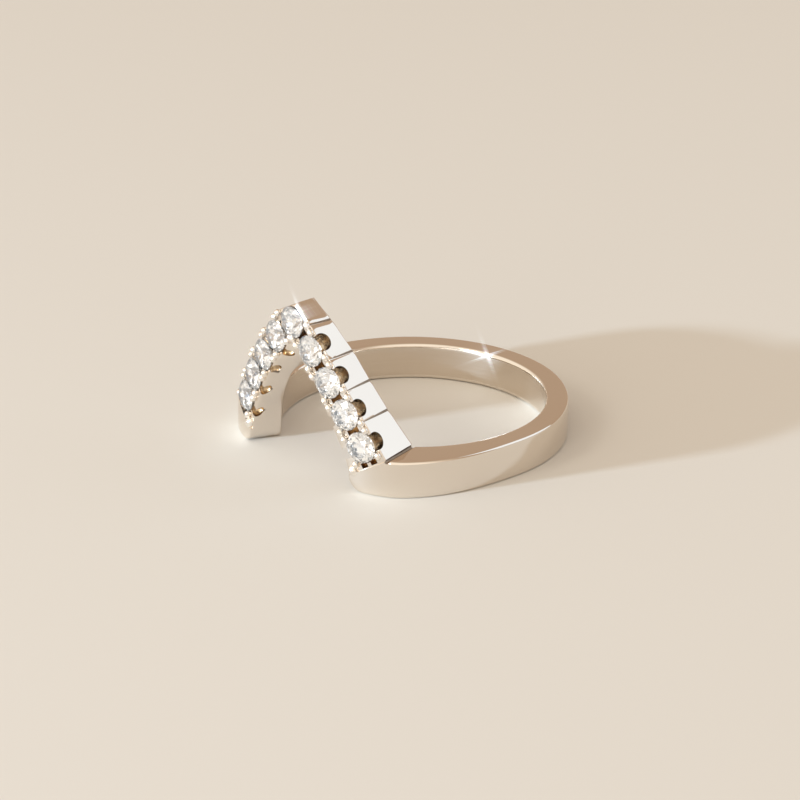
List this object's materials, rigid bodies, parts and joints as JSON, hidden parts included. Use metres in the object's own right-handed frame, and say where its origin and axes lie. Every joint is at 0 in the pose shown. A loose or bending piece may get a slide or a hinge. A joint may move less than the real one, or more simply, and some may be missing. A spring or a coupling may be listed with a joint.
{
  "type": "chevron finger ring",
  "caption": "Flat polished finger ring with a raised chevron front, set with a row of small round brilliants down both arms.",
  "frame": {"origin": "middle of the ring's box, on the surface that the band lies on", "axes": "+Z along the finger's axis, up from the surface; the chevron stands on the -Y side and points to +Z; the ring is symmetric in X"},
  "size_m": [0.02, 0.0204, 0.0113],
  "materials": {
    "white_metal": "mirror-polished white gold or platinum, softly brushed inside the finger hole",
    "stone": "clear colourless brilliant cut, polished"
  },
  "bodies": {
    "root": {"ring_body": "white_metal", "stone_peak": "stone", "stone_left_1": "stone", "stone_left_2": "stone", "stone_left_3": "stone", "stone_left_4": "stone", "stone_right_1": "stone", "stone_right_2": "stone", "stone_right_3": "stone", "stone_right_4": "stone"}
  },
  "joints": []
}
